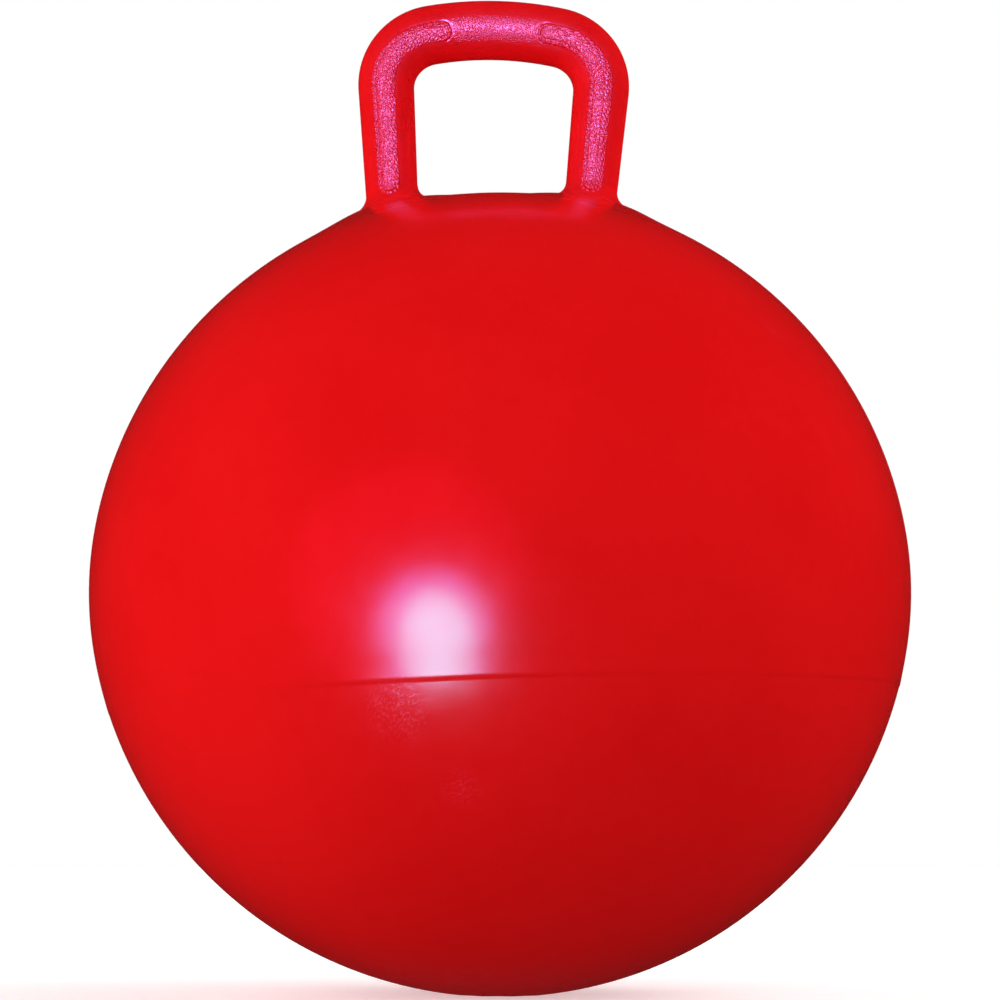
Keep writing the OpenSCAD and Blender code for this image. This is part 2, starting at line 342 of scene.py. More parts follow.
# The pebbled panels on the front and back of each leg and corner. They start this far along the
# centre line from the bar's middle, and end this far above the crown's height
PANEL_START = 0.0245
PANEL_FOOT = {-1: 0.0004, 1: 0.0030}
# Half their width and how far outwards they lie, on the legs and on the bar
PANEL_HALF = 0.0068
PANEL_BAR_HALF = 0.0054
PANEL_SHIFT = {-1: 0.0013, 1: -0.0004}
PANEL_BAR_SHIFT = -0.0028
# The groove round each panel: half its width, its depth at the end on the bar, and the share of
# that elsewhere. It changes within these lengths before and after the middle of that end's rounding
RIM_GROOVE_HALF = 0.00055
RIM_GROOVE_DEPTH = 0.00045
RIM_GROOVE_SHARE = 0.15
DEEP_GROOVE_BEFORE = 0.004
DEEP_GROOVE_AFTER = 0.002
# How far inside the rim the inner groove lies, next to the beads
INNER_GROOVE_IN = 0.0024
# The row of beads round the left of each panel and its ends
BEAD_IN = 0.0011
BEAD_PITCH = 0.0034
BEAD_RADIUS = 0.00115
BEAD_HEIGHT = 0.00060
# The slanted dashes on the right of each panel: how far in they reach, how deep the groove beside
# them is as a share of the others, their slant, and their spacing and size
DASH_RIM = 0.0044
DASH_GROOVE_SHARE = 0.35
DASH_SLANT = math.radians(28)
DASH_PITCH = 0.0032
DASH_APART = 0.0015
DASH_HALF_LENGTH = 0.0013
DASH_HALF_WIDTH = 0.00052
DASH_HEIGHT = 0.00034
# The pebbles: their size and height, how far in from their edges they rise as a share of their
# size, how far they are sunk, and how much and over how many pebbles their height varies
PEBBLE = 0.0014
PEBBLE_HEIGHT = 0.00036
PEBBLE_GAP = 0.30
PEBBLE_SINK = 0.4
PEBBLE_SWELL = 0.5
SWELL_PEBBLES = 2.5
# The lengths over which the relief and the fine grain start inside a panel's edges
RELIEF_FADE = 0.0006
FINE_GRAIN_FADE = 0.0010
# The grained band on the front and back of the bar, between the panels: half its width, how far
# it fades across, and where it is gone and where it is full before the panels
GRAIN_HALF = 0.0074
GRAIN_FADE = 0.0022
GRAIN_GONE = 0.0006
GRAIN_FULL = 0.0016


def leg_line(side):
    """A leg's centre line where it meets the crown's height, with its up and outward arrows."""
    turn = HANDLE_PLACE.to_3x3()
    start = HANDLE_PLACE @ Vector((side * LEG_X, 0, 0))
    up = turn @ Vector((side * math.sin(LEG_SPLAY), 0, math.cos(LEG_SPLAY)))
    out = turn @ Vector((side * math.cos(LEG_SPLAY), 0, -math.sin(LEG_SPLAY)))
    return start, up, out


LEGS = {side: leg_line(side) for side in (-1, 1)}
DEEP = Vector((0, 1, 0))
# Keeps a width from being nothing
SMALLEST = 1e-6


def to_dome(point, up):
    """How far along up from a point the ball's crown lies."""
    away = point - Vector((0, 0, DOME_Z))
    along = away.dot(up)
    return -along + math.sqrt(along**2 - away.length_squared + SHELL_RADIUS**2)


def foot_place(side, away, over, angle):
    """A point round the foot, at a distance from the leg's face and a height over the ball's
    drawn-up skin."""
    start, up, out = LEGS[side]
    spoke = out * math.cos(angle) + DEEP * math.sin(angle)
    foot = start + spoke * (FOOT_THICKNESS / 2 + away)
    high = to_dome(foot, up) + mound(away, angle) + over
    return dipped(foot + up * high), spoke


def skirt_place(side, share, angle):
    """A point where the fillet runs out over the ball's skin: share 0 is its edge, dipped into
    the skin, and 1 the fillet's foot."""
    out = 1 - share
    over = SKIRT_LIFT - (SKIRT_LIFT + SKIRT_DIP) * out**2
    return foot_place(side, FILLET_RADIUS + SKIRT_RUN * out, over, angle)


def fillet_place(side, share, angle):
    """A point of the foot's fillet: share 0 is its lower edge and 1 its top."""
    turned = math.pi / 2 * (1 - share)
    away = FILLET_RADIUS * (1 - math.cos(turned))
    over = SKIRT_LIFT + FILLET_RADIUS * (1 - math.sin(turned))
    return foot_place(side, away, over, angle)


def leg_place(side, share, angle):
    """A point of the leg: share 0 is the fillet's top and 1 the corner's start."""
    start, up, out = LEGS[side]
    foot = FOOT_THICKNESS / 2
    spoke = out * math.cos(angle) + DEEP * math.sin(angle)
    low = (fillet_place(side, 1, angle)[0] - start).dot(up)
    wide = foot + (LEG_TOP_THICKNESS / 2 - foot) * share
    thick = foot + (TUBE_DEPTH / 2 - foot) * share
    sheer = out * (wide * math.cos(angle)) + DEEP * (thick * math.sin(angle))
    return start + sheer + up * (low + (LEG_LENGTH - low) * share), spoke


def cross_place(centre, arrow, wide, angle):
    """A point of a section across the corner or the bar."""
    turn = HANDLE_PLACE.to_3x3()
    thick = TUBE_DEPTH / 2
    sheer = arrow * (wide * math.cos(angle)) + DEEP * (thick * math.sin(angle))
    normal = arrow * (math.cos(angle) / wide) + DEEP * (math.sin(angle) / thick)
    return HANDLE_PLACE @ (centre + sheer), (turn @ normal).normalized()


def corner_place(side, share, angle):
    """A point of the upper corner: share 0 is the leg's end and 1 the bar's."""
    turned = CORNER_FROM + (BAR_ANGLE - CORNER_FROM) * share
    arrow = Vector((side * math.sin(turned), 0, math.cos(turned)))
    centre = Vector((side * CORNER_X, 0, CORNER_Z)) + arrow * CORNER_RADIUS
    swell = math.sin(math.pi / 2 * share)
    wide = LEG_TOP_THICKNESS / 2 + (BAR_THICKNESS - LEG_TOP_THICKNESS) / 2 * swell
    return cross_place(centre, arrow, wide, angle)


def bar_place(side, share, angle):
    """A point of the grip bar's half on one side: share 0 is its end and 1 the middle."""
    turned = side * BAR_ANGLE * (1 - share)
    arrow = Vector((math.sin(turned), 0, math.cos(turned)))
    centre = Vector((0, 0, ARCH_Z)) + arrow * ARCH_RADIUS
    return cross_place(centre, arrow, BAR_THICKNESS / 2, angle)


def run_of(place, side, share, point):
    """Distance of a row from the bar's middle, along the loop's centre line."""
    if place is bar_place:
        return BAR_HALF * (1 - share)
    if place is corner_place:
        return BAR_HALF + CORNER_RUN * (1 - share)
    start, up, _ = LEGS[side]
    return BAR_HALF + CORNER_RUN + LEG_LENGTH - (point - start).dot(up)


def half_rows(side):
    """Rows of one half of the loop, from its foot's edge to the middle of the bar."""
    rows = []
    for place, count in (
        (skirt_place, SKIRT_ROWS),
        (fillet_place, round(math.pi / 2 * FILLET_RADIUS / ROW)),
        (leg_place, round((LEG_LENGTH - FILLET_RADIUS - MOUND_HEIGHT) / ROW)),
        (corner_place, round(CORNER_RUN / ROW)),
        (bar_place, round(BAR_HALF / ROW)),
    ):
        rows += [(place, side, k / count) for k in range(count)]
    return rows


def column_angles():
    """Angles round the section, from the outer side round the back, the inner side and front.
    Fine columns reach further towards the hand, where the panels run on the bar."""
    back = math.pi / 2
    front = 3 * math.pi / 2
    stops = [
        (front + FINE_TO - 2 * math.pi, back - FINE_TO, COARSE_COLUMNS),
        (back - FINE_TO, back - FINE_FROM, FINE_COLUMNS),
        (back - FINE_FROM, front + FINE_FROM, COARSE_COLUMNS),
        (front + FINE_FROM, front + FINE_TO, FINE_COLUMNS),
    ]
    angles = []
    for start, end, count in stops:
        angles += [start + (end - start) * k / count for k in range(count)]
    return angles


def dome_bump(aside, along, radius):
    """Height share of a round bead, from its middle out."""
    near = 1 - (aside**2 + along**2) / radius**2
    return math.sqrt(near) if near > 0 else 0.0


def dash_bump(run, right):
    """Height share of the slanted dashes: run goes down the leg and right across it."""
    along = run * math.cos(DASH_SLANT) + right * math.sin(DASH_SLANT)
    across = right * math.cos(DASH_SLANT) - run * math.sin(DASH_SLANT)
    line = math.floor(across / DASH_APART)
    along += line % 2 * DASH_PITCH / 2
    off_line = across - (line + 0.5) * DASH_APART
    off_dash = along - (math.floor(along / DASH_PITCH) + 0.5) * DASH_PITCH
    near = 1 - (off_dash / DASH_HALF_LENGTH) ** 2 - (off_line / DASH_HALF_WIDTH) ** 2
    return math.sqrt(near) if near > 0 else 0.0


def groove(away):
    """Depth of a narrow groove at a distance from its middle."""
    return RIM_GROOVE_DEPTH * max(0.0, 1 - abs(away) / RIM_GROOVE_HALF)


def pebbles(point):
    """Height of the small round pebbles at a point."""
    near, far = noise.voronoi(point / PEBBLE)[0][:2]
    swell = noise.noise(point / (SWELL_PEBBLES * PEBBLE))
    rise = min(1.0, (far - near) / PEBBLE_GAP)
    return PEBBLE_HEIGHT * (rise * (1 + PEBBLE_SWELL * swell) - PEBBLE_SINK)


def panel_relief(side, run, aside, point):
    """Height of the pebbled panel's relief, and how far inside it a place is, 0 to 1.
    run goes along the loop from the bar's middle, and aside goes outwards from its front."""
    on_leg = smooth_step(BAR_HALF, BAR_HALF + CORNER_RUN, run)
    aside -= PANEL_BAR_SHIFT + (PANEL_SHIFT[side] - PANEL_BAR_SHIFT) * on_leg
    half = PANEL_BAR_HALF + (PANEL_HALF - PANEL_BAR_HALF) * on_leg
    end = BAR_HALF + CORNER_RUN + LEG_LENGTH - PANEL_FOOT[side]
    first = PANEL_START + half
    last = end - half
    nearest = min(max(run, first), last)
    beyond = run - nearest
    inside = half - math.hypot(beyond, aside)
    if inside < -RIM_GROOVE_HALF:
        return 0.0, 0.0
    near_bar = smooth_step(first + DEEP_GROOVE_AFTER, first - DEEP_GROOVE_BEFORE, run)
    height = -groove(inside) * (RIM_GROOVE_SHARE + (1 - RIM_GROOVE_SHARE) * near_bar)
    if inside <= 0:
        return height, 0.0
    right = side * aside
    if right > 0 and beyond == 0:
        rim = DASH_RIM
        rim_depth = DASH_GROOVE_SHARE
        if inside < rim:
            height += DASH_HEIGHT * smooth_step(0, RELIEF_FADE, inside) * dash_bump(run, right)
    else:
        rim = INNER_GROOVE_IN
        rim_depth = 1.0
        along = nearest + half * math.atan2(beyond, abs(aside) + SMALLEST)
        off_bead = (along / BEAD_PITCH - math.floor(along / BEAD_PITCH) - 0.5) * BEAD_PITCH
        height += BEAD_HEIGHT * dome_bump(inside - BEAD_IN, off_bead, BEAD_RADIUS)
    height -= rim_depth * groove(inside - rim)
    within = smooth_step(rim, rim + RELIEF_FADE, inside)
    if within > 0:
        height += within * pebbles(point)
    return height, smooth_step(0, FINE_GRAIN_FADE, inside)


def bar_grain(run, aside):
    """How strongly the bar's grained band shows at a place, 0 to 1."""
    off_band = abs(aside - PANEL_BAR_SHIFT)
    across = smooth_step(GRAIN_HALF, GRAIN_HALF - GRAIN_FADE, off_band)
    return across * smooth_step(PANEL_START - GRAIN_GONE, PANEL_START - GRAIN_FULL, run)


def make_handle():
    """The loop handle: one tube wrapped round the loop's line, with its pebbled panels."""
    angles = column_angles()
    left = half_rows(-1)
    right = half_rows(1)
    rows = left + [(bar_place, 1, 1.0)] + right[::-1]
    columns = len(angles)
    last_row = len(rows) - 1
    bm = bmesh.new()
    pebbled = bm.verts.layers.float.new("pebbled")
    bmesh.ops.create_grid(bm, x_segments=columns, y_segments=last_row, size=1)
    for corner in bm.verts:
        column = round((corner.co.x + 1) / 2 * columns) % columns
        place, side, share = rows[round((corner.co.y + 1) / 2 * last_row)]
        angle = angles[column]
        point, normal = place(side, share, angle)
        run = run_of(place, side, share, point)
        aside = math.asin(math.cos(angle)) * TUBE_DEPTH / 2
        height, inside = panel_relief(side, run, aside, point)
        corner.co = point + normal * height
        corner[pebbled] = max(inside, bar_grain(run, aside))
    bmesh.ops.remove_doubles(bm, verts=bm.verts[:], dist=SAME_POINT)
    close_feet(bm)
    bmesh.ops.recalc_face_normals(bm, faces=bm.faces[:])
    return own_object(bm, "skin_of_handle")


def close_feet(bm):
    """Turns each foot's edge down into the ball's skin and closes it there, out of sight."""
    edge = [e for e in bm.edges if e.is_boundary]
    down = bmesh.ops.extrude_edge_only(bm, edges=edge)["geom"]
    for corner in (v for v in down if isinstance(v, bmesh.types.BMVert)):
        way = (corner.co - BOWL_CENTRE).normalized()
        corner.co -= way * SKIRT_END
    rim = [e for e in down if isinstance(e, bmesh.types.BMEdge)]
    bmesh.ops.holes_fill(bm, edges=rim, sides=0)


def add_node(tree, kind, **values):
    """Adds one node, with its settings by name and its input sockets by number or name."""
    node = tree.nodes.new(kind)
    inputs = values.pop("inputs", {})
    for name, value in values.items():
        setattr(node, name, value)
    for socket, value in inputs.items():
        if isinstance(value, bpy.types.NodeSocket):
            tree.links.new(value, node.inputs[socket])
        else:
            node.inputs[socket].default_value = value
    return node


def vinyl(name, colour, roughness):
    """A moulded vinyl finish, with its plain values on the shader's own sockets."""
    finish = bpy.data.materials.new(name)
    finish.use_nodes = True
    shader = finish.node_tree.nodes["Principled BSDF"]
    shader.inputs["Base Color"].default_value = (*colour, 1)
    shader.inputs["Roughness"].default_value = roughness
    return finish, finish.node_tree, shader


def grains(tree, place, width, detail=2.0):
    """Cloudy noise from 0 to 1 whose grains are about width wide."""
    noise_node = add_node(
        tree, "ShaderNodeTexNoise",
        inputs={"Vector": place, "Scale": 0.5 / width, "Detail": detail},
    )
    return noise_node.outputs[0]


def spread(tree, value, low, high, to_low, to_high):
    """Maps a value between low and high smoothly onto another range."""
    return add_node(
        tree, "ShaderNodeMapRange", interpolation_type="SMOOTHSTEP",
        inputs={0: value, 1: low, 2: high, 3: to_low, 4: to_high},
    ).outputs[0]


def worked(tree, operation, first, second):
    """One sum, product or other operation on two values."""
    return add_node(
        tree, "ShaderNodeMath", operation=operation, inputs={0: first, 1: second}
    ).outputs[0]


def mixed(tree, share, first, second):
    """Blends two colours."""
    return add_node(
        tree, "ShaderNodeMix", data_type="RGBA",
        inputs={0: share, 6: first, 7: second},
    ).outputs[2]


def raised(tree, height, distance, under=None):
    """Bump from a height, over another bump where one is given."""
    inputs = {"Height": height, "Distance": distance}
    if under is not None:
        inputs["Normal"] = under
    return add_node(tree, "ShaderNodeBump", inputs=inputs).outputs["Normal"]


def spot(tree, place, middle, radius):
    """1 in the middle of a round spot, fading to 0 at its edge."""
    away = add_node(
        tree, "ShaderNodeVectorMath", operation="DISTANCE", inputs={0: place, 1: middle}
    ).outputs["Value"]
    return spread(tree, away, SPOT_CORE * radius, radius, 1.0, 0.0)


# The part of a spot's radius over which it is full
SPOT_CORE = 0.1
# The vinyl's reds: on the whole, where it is clouded brighter and deeper, where it is rubbed, where
# it is scuffed, pale and pink with a painted sheen, and the dark red of painted shade in the
# hollows of the grain
SKIN_RED = (0.76, 0.0055, 0.0065)
SKIN_BRIGHT = (0.78, 0.0062, 0.0072, 1)
SKIN_DEEP = (0.74, 0.0048, 0.0058, 1)
SKIN_RUBBED = (0.72, 0.014, 0.018, 1)
SCUFF_PALE_AND_SHEEN = (0.80, 0.022, 0.050, 1)
HOLLOW_SHADE_RED = (0.42, 0.003, 0.010, 1)
# Places where the ball's skin is scuffed, and how far each scuff reaches. The scuffs' pink colour
# is partly a painted sheen
SCUFFS = [
    ((-0.048, -0.201, 0.145), 0.024),
    ((-0.018, -0.189, 0.108), 0.015),
    ((-0.066, -0.033, 0.013), 0.012),
    ((0.139, -0.119, 0.342), 0.008),
    ((0.190, 0.060, 0.120), 0.030),
    ((-0.110, 0.175, 0.250), 0.024),
    ((0.060, 0.205, 0.155), 0.034),
    ((-0.195, 0.020, 0.105), 0.022),
]
# The fine scratches in the scuffs run down to the right. Their noise is drawn out along one
# direction, where it changes only this much as fast
SCRATCH_TURN = (0, math.radians(50), 0)
SCRATCH_STRETCH = (0.14, 1, 1)
SCRATCH_WIDTH = 0.0005
SCRATCH_RANGE = (0.42, 0.72)
SCRATCH_HEIGHT = 0.00004
# How much of the scuffed colour, partly a painted pink sheen, shows in a scuff, and how much duller
# scuffed or rubbed skin is
SCUFF_AND_SHEEN_SHARE = 0.6
SCUFF_DULLNESS = 0.06
# The ball's wide clouds and small mottle of colour, their shares, and the part of their noise that
# is spread over the two reds
CLOUD_WIDTH = 0.045
CLOUD_SHARE = 0.7
MOTTLE_WIDTH = 0.006
MOTTLE_SHARE = 0.3
CLOUD_RANGE = (0.3, 0.7)
# The underside is rubbed up to this height, in patches of this width
RUB_HEIGHT = 0.030
RUB_WIDTH = 0.003
RUB_RANGE = (0.35, 0.65)
RUB_LEAST = 0.3
# Roughness of the ball's skin: on the whole, and where the mottle makes it least and most
BALL_ROUGHNESS = 0.20
BALL_LEAST_ROUGH = 0.190
BALL_MOST_ROUGH = 0.212
# Width and height of the fine unevenness and the gentle waves of the ball's face
BALL_PEEL = (0.0007, 0.000012)
BALL_WAVES = (0.009, 0.00006)


def ball_finish():
    """Glossy red vinyl, a little cloudy, with a rubbed underside and scuffs whose pale pink colour
    is partly a painted sheen.
    """
    finish, tree, shader = vinyl("glossy_red_vinyl", SKIN_RED, BALL_ROUGHNESS)
    place = add_node(tree, "ShaderNodeTexCoord").outputs["Object"]
    clouds = worked(tree, "MULTIPLY", grains(tree, place, CLOUD_WIDTH, detail=1.0), CLOUD_SHARE)
    mottle = grains(tree, place, MOTTLE_WIDTH)
    shade = worked(tree, "ADD", clouds, worked(tree, "MULTIPLY", mottle, MOTTLE_SHARE))
    skin = mixed(tree, spread(tree, shade, *CLOUD_RANGE, 0.0, 1.0), SKIN_DEEP, SKIN_BRIGHT)

    height = add_node(
        tree, "ShaderNodeSeparateXYZ", inputs={0: place}
    ).outputs["Z"]
    rub = worked(
        tree, "MULTIPLY", spread(tree, height, 0.0, RUB_HEIGHT, 1.0, 0.0),
        spread(tree, grains(tree, place, RUB_WIDTH, detail=4.0), *RUB_RANGE, RUB_LEAST, 1.0),
    )
    scuffed = None
    for middle, radius in SCUFFS:
        one = spot(tree, place, middle, radius)
        scuffed = one if scuffed is None else worked(tree, "MAXIMUM", scuffed, one)
    turned = add_node(
        tree, "ShaderNodeMapping", inputs={0: place, 2: SCRATCH_TURN}
    ).outputs[0]
    drawn = add_node(
        tree, "ShaderNodeVectorMath", operation="MULTIPLY",
        inputs={0: turned, 1: SCRATCH_STRETCH},
    ).outputs[0]
    scratches = spread(
        tree, grains(tree, drawn, SCRATCH_WIDTH, detail=1.0), *SCRATCH_RANGE, 0.0, 1.0
    )
    scuff = worked(tree, "MULTIPLY", scuffed, scratches)
    rubbed = mixed(tree, rub, skin, SKIN_RUBBED)
    # Painted sheen: the scuffs' colour is partly a pink that stands in for the highlight's glint,
    # over the paler scuffed vinyl
    part_scuff_and_sheen = worked(tree, "MULTIPLY", scuff, SCUFF_AND_SHEEN_SHARE)
    tree.links.new(mixed(tree, part_scuff_and_sheen, rubbed, SCUFF_PALE_AND_SHEEN), shader.inputs["Base Color"])

    worn = worked(tree, "MAXIMUM", scuff, rub)
    duller = worked(tree, "MULTIPLY", worn, SCUFF_DULLNESS)
    even = spread(tree, mottle, *CLOUD_RANGE, BALL_LEAST_ROUGH, BALL_MOST_ROUGH)
    tree.links.new(worked(tree, "ADD", even, duller), shader.inputs["Roughness"])

    peel_width, peel_height = BALL_PEEL
    peel = raised(tree, grains(tree, place, peel_width, detail=1.0), peel_height)
    wave_width, wave_height = BALL_WAVES
    waves = raised(tree, grains(tree, place, wave_width, detail=1.0), wave_height, peel)
    tree.links.new(raised(tree, scuff, SCRATCH_HEIGHT, waves), shader.inputs["Normal"])
    return finish


# The handle's fine grain: its width and height, the part of its noise that it uses, the level under
# which the dark red of painted shade shows in its hollows, and how much of that
FINE_GRAIN_WIDTH = 0.00042
FINE_GRAIN_HEIGHT = 0.00020
FINE_GRAIN_RANGE = (0.38, 0.62)
HOLLOW_SHADE_LEVEL = 0.5
HOLLOW_SHADE_SHARE = 0.15
# The handle's clouds of colour and roughness
HANDLE_CLOUD_WIDTH = 0.012
HANDLE_CLOUD_RANGE = (0.2, 0.8)
SATIN_RANGE = (0.3, 0.7)
# Roughness of the handle: on the whole, where the clouds make it least and most, and how much
# rougher it is where it is grained
HANDLE_ROUGHNESS = 0.30
HANDLE_LEAST_ROUGH = 0.27
HANDLE_MOST_ROUGH = 0.33
GRAINED_ROUGHER = 0.05
# Width and height of the fine unevenness of its smooth parts
HANDLE_PEEL = (0.0006, 0.000008)


def handle_finish():
    """Satin red vinyl, with a fine grain where the panels and the bar's band are pebbled, and
    painted shade in that grain's hollows.
    """
    finish, tree, shader = vinyl("satin_red_vinyl", SKIN_RED, HANDLE_ROUGHNESS)
    place = add_node(tree, "ShaderNodeTexCoord").outputs["Object"]
    pebbled = add_node(tree, "ShaderNodeAttribute", attribute_name="pebbled").outputs["Fac"]
    fine = spread(tree, grains(tree, place, FINE_GRAIN_WIDTH), *FINE_GRAIN_RANGE, 0.0, 1.0)
    clouds = grains(tree, place, HANDLE_CLOUD_WIDTH)
    brighter = spread(tree, clouds, *HANDLE_CLOUD_RANGE, 0.0, 1.0)
    skin = mixed(tree, brighter, SKIN_DEEP, SKIN_BRIGHT)
    # Painted shade: the hollows of the fine grain on the pebbled parts are darkened in the colour
    between = spread(tree, fine, 0.0, HOLLOW_SHADE_LEVEL, HOLLOW_SHADE_SHARE, 0.0)
    painted_hollow_shade = worked(tree, "MULTIPLY", pebbled, between)
    tree.links.new(mixed(tree, painted_hollow_shade, skin, HOLLOW_SHADE_RED), shader.inputs["Base Color"])

    satin = spread(tree, clouds, *SATIN_RANGE, HANDLE_LEAST_ROUGH, HANDLE_MOST_ROUGH)
    grained = spread(tree, pebbled, 0.0, 1.0, 0.0, GRAINED_ROUGHER)
    tree.links.new(worked(tree, "ADD", satin, grained), shader.inputs["Roughness"])

    peel_width, peel_height = HANDLE_PEEL
    peel = raised(tree, grains(tree, place, peel_width, detail=1.0), peel_height)
    grain = worked(tree, "MULTIPLY", fine, pebbled)
    tree.links.new(raised(tree, grain, FINE_GRAIN_HEIGHT, peel), shader.inputs["Normal"])
    return finish


# The bush: its red and its dust's, its roughness on the whole, least and most, its dust's width,
# range and share, and the width and height of its fine grain
BUSH_RED = (0.30, 0.006, 0.008)
BUSH_DUSTY = (0.36, 0.030, 0.030)
BUSH_ROUGHNESS = 0.5
BUSH_LEAST_ROUGH = 0.44
BUSH_MOST_ROUGH = 0.60
DUST_WIDTH = 0.0016
DUST_RANGE = (0.45, 0.70)
DUST_SHARE = 0.6
BUSH_GRAIN = (0.0004, 0.00002)


def bush_finish():
    """Dark red rubbery vinyl of the valve's bush, slightly dusty."""
    finish, tree, shader = vinyl("valve_bush_vinyl", BUSH_RED, BUSH_ROUGHNESS)
    place = add_node(tree, "ShaderNodeTexCoord").outputs["Object"]
    dust = spread(tree, grains(tree, place, DUST_WIDTH, detail=3.0), *DUST_RANGE, 0.0, DUST_SHARE)
    dusty = mixed(tree, dust, (*BUSH_RED, 1), (*BUSH_DUSTY, 1))
    tree.links.new(dusty, shader.inputs["Base Color"])
    rough = spread(tree, dust, 0.0, DUST_SHARE, BUSH_LEAST_ROUGH, BUSH_MOST_ROUGH)
    tree.links.new(rough, shader.inputs["Roughness"])
    grain_width, grain_height = BUSH_GRAIN
    skin = raised(tree, grains(tree, place, grain_width), grain_height)
    tree.links.new(skin, shader.inputs["Normal"])
    return finish


# The plug: its white on the whole, clean and yellowed, the width and range of its yellowing, its
# roughness on the whole, least and most, and its fine rubbed lines, drawn out as the scratches are
PLUG_WHITE = (0.78, 0.76, 0.70)
PLUG_CLEAN = (0.79, 0.775, 0.72)
PLUG_YELLOWED = (0.72, 0.69, 0.59)
AGE_WIDTH = 0.004
AGE_RANGE = (0.35, 0.70)
PLUG_ROUGHNESS = 0.42
PLUG_LEAST_ROUGH = 0.36
PLUG_MOST_ROUGH = 0.50
LINE_WIDTH = 0.0003
LINE_RANGE = (0.50, 0.62)
LINE_HEIGHT = 0.000015


def plug_finish():
    """Off-white moulded plastic of the plug, a little yellowed and rubbed by fingernails."""
    finish, tree, shader = vinyl("white_plug_plastic", PLUG_WHITE, PLUG_ROUGHNESS)
    place = add_node(tree, "ShaderNodeTexCoord").outputs["Object"]
    age = spread(tree, grains(tree, place, AGE_WIDTH), *AGE_RANGE, 0.0, 1.0)
    aged = mixed(tree, age, (*PLUG_CLEAN, 1), (*PLUG_YELLOWED, 1))
    tree.links.new(aged, shader.inputs["Base Color"])
    drawn = add_node(
        tree, "ShaderNodeVectorMath", operation="MULTIPLY",
        inputs={0: place, 1: SCRATCH_STRETCH},
    ).outputs[0]
    rubbed = spread(tree, grains(tree, drawn, LINE_WIDTH, detail=1.0), *LINE_RANGE, 0.0, 1.0)
    rough = spread(tree, rubbed, 0.0, 1.0, PLUG_LEAST_ROUGH, PLUG_MOST_ROUGH)
    tree.links.new(rough, shader.inputs["Roughness"])
    tree.links.new(raised(tree, rubbed, LINE_HEIGHT), shader.inputs["Normal"])
    return finish


def dress(piece, finish):
    """Gives a piece or a carried-over part one finish in place of all it had."""
    piece.data.materials.clear()
    piece.data.materials.append(finish)


# The studio: where the camera stands, and the light
CAMERA_AWAY = 1.5
CAMERA_BELOW = math.radians(5.65)
CAMERA_PITCH = math.radians(7.41)
CAMERA_LENS = 97.5
CAMERA_SENSOR = 36
FLOOR_SIZE = 12.0
FLOOR_GREY = (0.8, 0.8, 0.8)
FLOOR_ROUGHNESS = 0.9
# How much of white is added to the floor's grey where the camera sees it
FLOOR_WHITENING = 0.45
# Each soft lamp: degrees round from the front, to the right, degrees up, and strength
SOFT_LAMPS = [
    (-85, 5, 0.50),
    (-45, 15, 2.00),
    (-20, -15, 0.33),
    (-60, -40, 0.95),
    (72, 28, 1.50),
    (90, 0, 0.55),
    (120, 15, 2.00),
    (-125, 12, 0.95),
    (180, 20, 0.80),
    (10, 65, 0.16),
]
LAMP_SPREAD = math.radians(90)
# How much of the white surroundings the gloss shows
GLOSS_SHARE = 0.01
# The gloss lamps: the spot that each is aimed at, where it stands from there, in degrees to the
# right of the front and up, how wide and tall it looks in degrees, how far off it is and how
# bright in red, green and blue. The first is the highlight on the ball, the next two are the pink
# ring and the wide red glow round that, and the last is the sheen on the handle
BALL_SPOT = Vector((-0.030, -0.219, 0.181))
HANDLE_SPOT = Vector((-0.005, 0, 0.500))
CORE_LAMP = (BALL_SPOT, -17.4, -18.6, 18.6, 24.0, 6.0, (1.4, 15.4, 13.2))
RING_LAMP = (BALL_SPOT, -18.2, -16.0, 29.6, 31.0, 6.1, (2.7, 2.8, 12.4))
GLOW_LAMP = (BALL_SPOT, -26.0, -1.0, 64.0, 64.0, 6.2, (2.0, 0.02, 0.15))
GRIP_LAMP = (HANDLE_SPOT, -6.0, 4.0, 21.0, 33.0, 3.0, (62.0, 25.0, 86.0))


def make_camera():
    """Stands a little below the ball's middle and looks slightly up, as the photograph does."""
    lens = bpy.data.cameras.new("camera")
    lens.lens = CAMERA_LENS
    lens.sensor_width = CAMERA_SENSOR
    camera = bpy.data.objects.new("camera", lens)
    camera.location = (
        0,
        -CAMERA_AWAY * math.cos(CAMERA_BELOW),
        BOWL_Z - CAMERA_AWAY * math.sin(CAMERA_BELOW),
    )
    camera.rotation_euler = (math.pi / 2 + CAMERA_PITCH, 0, 0)
    bpy.context.scene.collection.objects.link(camera)
    bpy.context.scene.camera = camera


def make_white_surroundings():
    """White where the camera looks past the ball, and a dim white for its gloss."""
    world = bpy.data.worlds.new("studio")
    bpy.context.scene.world = world
    world.use_nodes = True
    tree = world.node_tree
    shader = tree.nodes["Background"]
    rays = add_node(tree, "ShaderNodeLightPath")
    straight = worked(
        tree, "ADD", rays.outputs["Is Camera Ray"], rays.outputs["Is Transmission Ray"]
    )
    mirrored = worked(tree, "MULTIPLY", rays.outputs["Is Glossy Ray"], GLOSS_SHARE)
    shader.inputs["Color"].default_value = (1, 1, 1, 1)
    tree.links.new(worked(tree, "ADD", straight, mirrored), shader.inputs["Strength"])


def lamp_way(aside, height):
    """Direction towards a lamp that stands aside from the front and at a height, in radians."""
    return Vector((
        math.sin(aside) * math.cos(height),
        -math.cos(aside) * math.cos(height),
        math.sin(height),
    ))


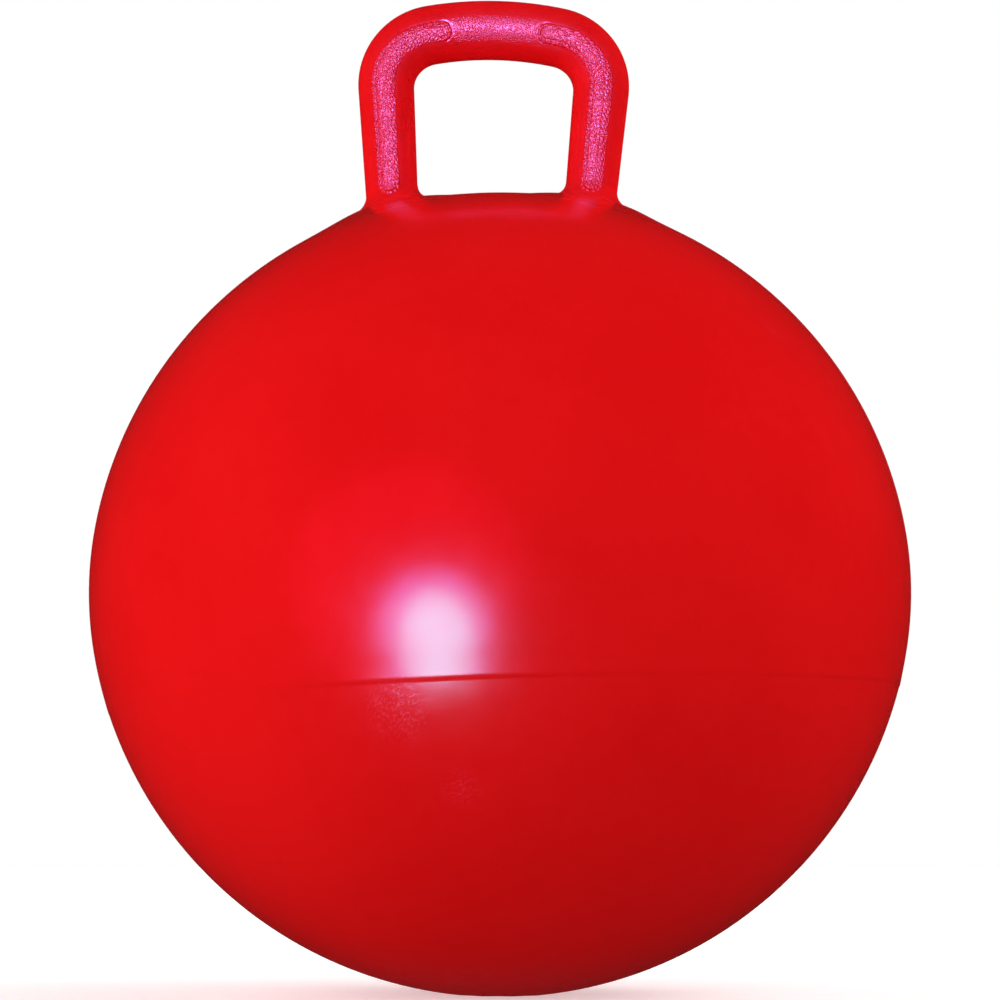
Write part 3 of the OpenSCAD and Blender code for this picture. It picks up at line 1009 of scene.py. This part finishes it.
def make_soft_lamps():
    """Broad lamps all round. They light the vinyl's colour and leave no gloss of their own."""
    for number, (aside, height, strength) in enumerate(SOFT_LAMPS):
        lamp = bpy.data.lights.new(f"soft_lamp_{number}", "SUN")
        lamp.energy = strength
        lamp.angle = LAMP_SPREAD
        lamp.cycles.use_multiple_importance_sampling = False
        holder = bpy.data.objects.new(f"soft_lamp_{number}", lamp)
        way = lamp_way(math.radians(aside), math.radians(height))
        holder.rotation_euler = way.to_track_quat("Z", "Y").to_euler()
        holder.visible_glossy = False
        bpy.context.scene.collection.objects.link(holder)


def make_gloss_lamp(name, values, pieces):
    """An oval lamp that only the gloss of the given pieces shows. Its power is what gives its
    face the stated brightness."""
    target, aside, height, wide, tall, away, glow = values
    strongest = max(glow)
    lamp = bpy.data.lights.new(name, "AREA")
    lamp.shape = "ELLIPSE"
    lamp.size = 2 * away * math.tan(math.radians(wide / 2))
    lamp.size_y = 2 * away * math.tan(math.radians(tall / 2))
    lamp.energy = strongest * math.pi**2 / 4 * lamp.size * lamp.size_y
    lamp.color = [part / strongest for part in glow]
    holder = bpy.data.objects.new(name, lamp)
    way = lamp_way(math.radians(aside), math.radians(height))
    holder.location = target + way * away
    holder.rotation_euler = (-way).to_track_quat("-Z", "Y").to_euler()
    holder.visible_camera = False
    holder.visible_diffuse = False
    bpy.context.scene.collection.objects.link(holder)
    lit = bpy.data.collections.new("lit_by_" + name)
    for piece in pieces:
        lit.objects.link(piece)
    holder.light_linking.receiver_collection = lit


def make_floor():
    """A plain pale floor, which keeps the ball's shadow."""
    bm = bmesh.new()
    bmesh.ops.create_grid(bm, x_segments=1, y_segments=1, size=FLOOR_SIZE)
    floor = own_object(bm, "floor")
    finish, tree, shader = vinyl("pale_floor", FLOOR_GREY, FLOOR_ROUGHNESS)
    shader.inputs["Specular IOR Level"].default_value = 0
    rays = add_node(tree, "ShaderNodeLightPath")
    whitening = worked(tree, "MULTIPLY", rays.outputs["Is Camera Ray"], FLOOR_WHITENING)
    shader.inputs["Emission Color"].default_value = (1, 1, 1, 1)
    tree.links.new(whitening, shader.inputs["Emission Strength"])
    dress(floor, finish)
    floor.visible_glossy = False
    floor.visible_diffuse = False
    floor.visible_shadow = False


ball = make_ball_skin()
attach(ball, "ball")
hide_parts("ball_skin")
dress(ball, ball_finish())

handle = make_handle()
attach(handle, "ball")
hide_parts("loop_handle")
dress(handle, handle_finish())

dress(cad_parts["valve_bush"], bush_finish())
dress(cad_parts["valve_plug"], plug_finish())

make_camera()
make_white_surroundings()
make_soft_lamps()
ball_parts = [ball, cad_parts["valve_bush"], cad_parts["valve_plug"]]
make_gloss_lamp("core_lamp", CORE_LAMP, ball_parts)
make_gloss_lamp("ring_lamp", RING_LAMP, ball_parts)
make_gloss_lamp("glow_lamp", GLOW_LAMP, ball_parts)
make_gloss_lamp("grip_lamp", GRIP_LAMP, [handle])
make_floor()

bpy.context.scene.view_settings.view_transform = "Standard"
